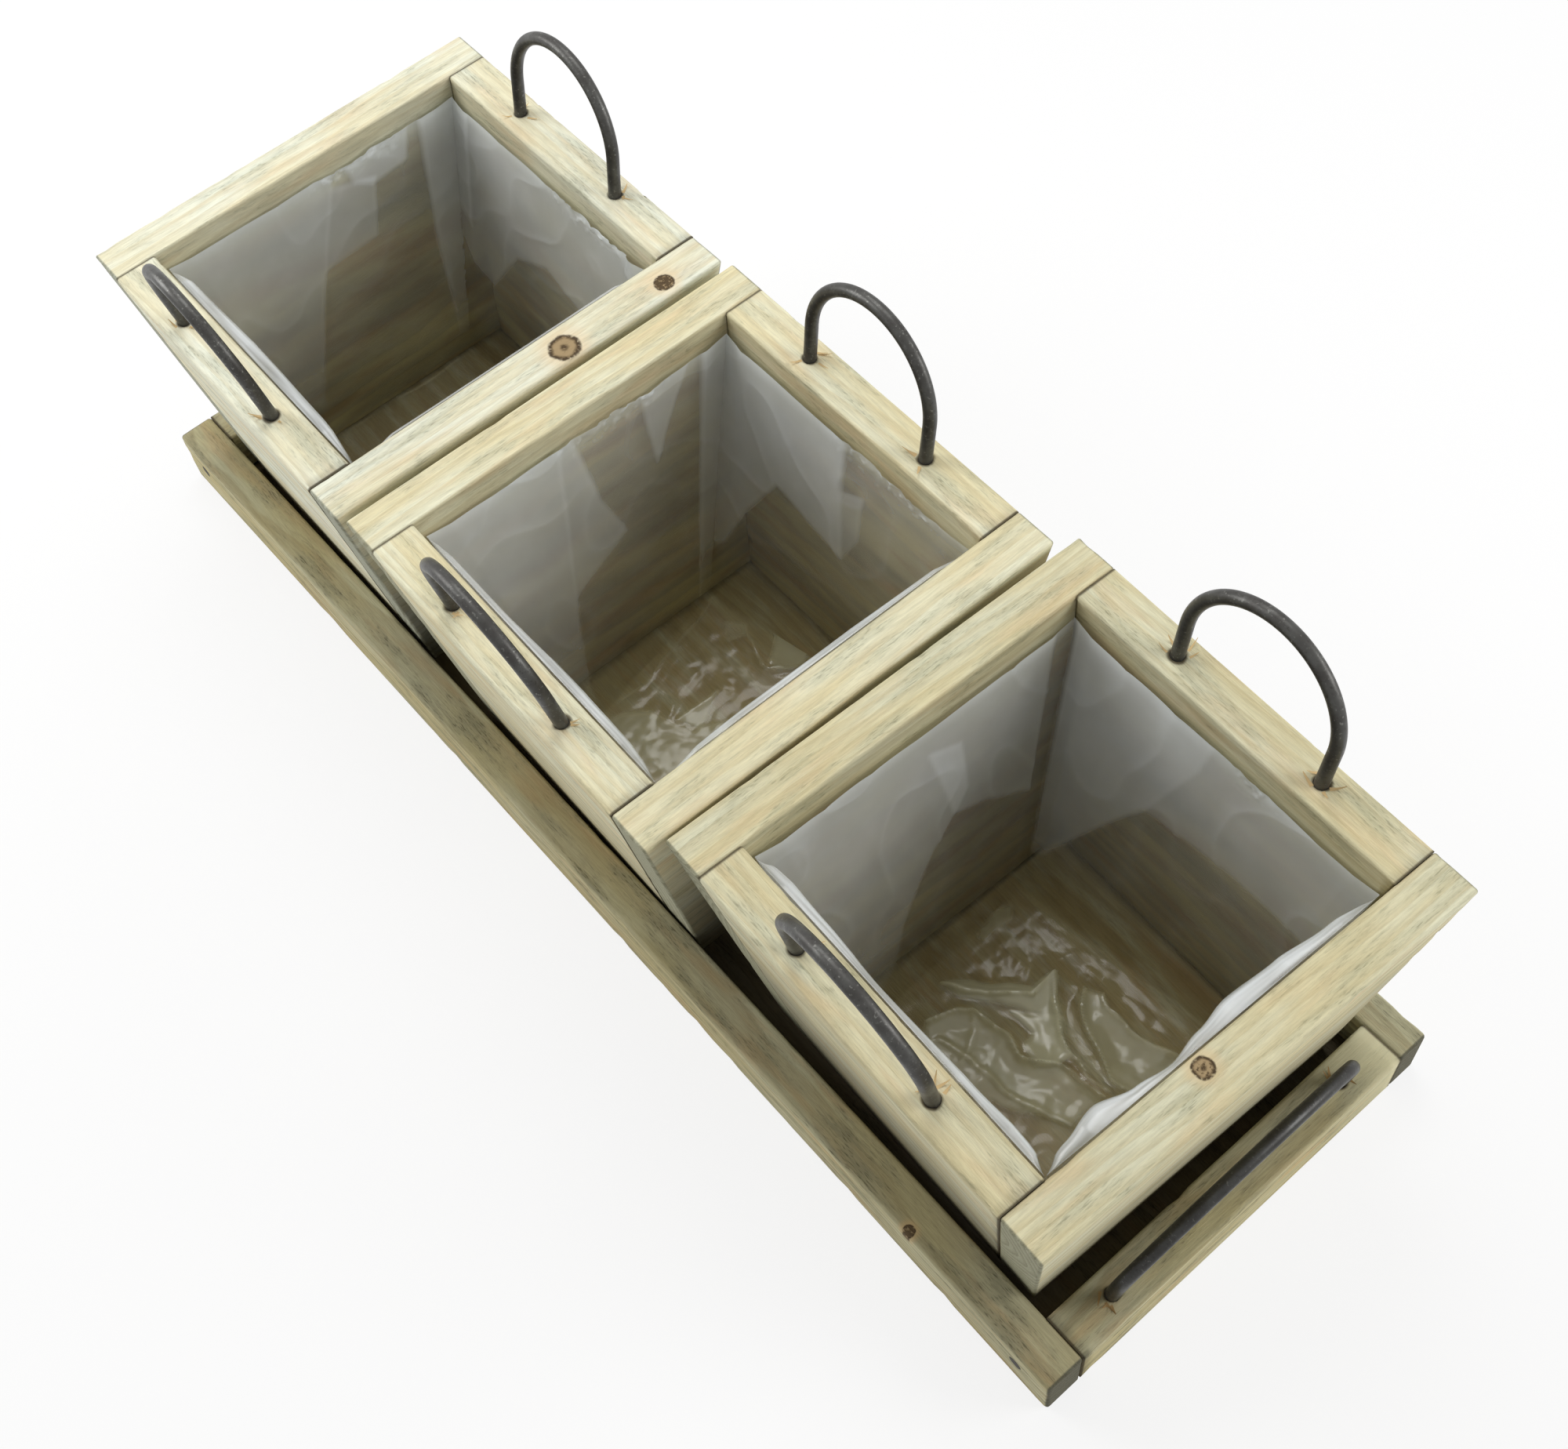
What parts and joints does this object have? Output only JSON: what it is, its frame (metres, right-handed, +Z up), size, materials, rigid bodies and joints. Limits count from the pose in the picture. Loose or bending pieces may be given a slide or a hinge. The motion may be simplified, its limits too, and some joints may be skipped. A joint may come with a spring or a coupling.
{
  "type": "indoor herb planter",
  "caption": "Low wooden tray holding loose tapered square boxes in a row, with wire bow handles and film liners, for growing herbs indoors.",
  "frame": {"origin": "middle of the tray's underside", "axes": "+X along the tray, +Y from its front to its back, +Z up"},
  "size_m": [0.431, 0.1458, 0.1506],
  "materials": {
    "box_wood": "pale weathered pine, bare",
    "tray_wood": "greyed weathered pine, bare",
    "wire": "dark oxidised wire",
    "nail": "dulled nail",
    "film": "thin translucent film, creased"
  },
  "bodies": {
    "tray": {"tray_front_board": "tray_wood", "tray_back_board": "tray_wood", "tray_left_end": "tray_wood", "tray_right_end": "tray_wood", "tray_base": "tray_wood", "tray_left_handle": "wire", "tray_right_handle": "wire", "tray_nails": "nail"},
    "box_1": {"box_1_left_board": "box_wood", "box_1_right_board": "box_wood", "box_1_front_board": "box_wood", "box_1_back_board": "box_wood", "box_1_base": "box_wood", "box_1_front_handle": "wire", "box_1_back_handle": "wire"},
    "liner_1": {"box_1_liner": "film"},
    "box_2": {"box_2_left_board": "box_wood", "box_2_right_board": "box_wood", "box_2_front_board": "box_wood", "box_2_back_board": "box_wood", "box_2_base": "box_wood", "box_2_front_handle": "wire", "box_2_back_handle": "wire"},
    "liner_2": {"box_2_liner": "film"},
    "box_3": {"box_3_left_board": "box_wood", "box_3_right_board": "box_wood", "box_3_front_board": "box_wood", "box_3_back_board": "box_wood", "box_3_base": "box_wood", "box_3_front_handle": "wire", "box_3_back_handle": "wire"},
    "liner_3": {"box_3_liner": "film"}
  },
  "joints": [
    {"name": "box_1_lift", "type": "slide", "parent": "tray", "child": "box_1", "axis": [0, 0, 1], "range_m": [0, 0.15]},
    {"name": "liner_1_lift", "type": "slide", "parent": "box_1", "child": "liner_1", "axis": [0, 0, 1], "range_m": [0, 0.13]},
    {"name": "box_2_lift", "type": "slide", "parent": "tray", "child": "box_2", "axis": [0, 0, 1], "range_m": [0, 0.15]},
    {"name": "liner_2_lift", "type": "slide", "parent": "box_2", "child": "liner_2", "axis": [0, 0, 1], "range_m": [0, 0.13]},
    {"name": "box_3_lift", "type": "slide", "parent": "tray", "child": "box_3", "axis": [0, 0, 1], "range_m": [0, 0.15]},
    {"name": "liner_3_lift", "type": "slide", "parent": "box_3", "child": "liner_3", "axis": [0, 0, 1], "range_m": [0, 0.13]}
  ]
}
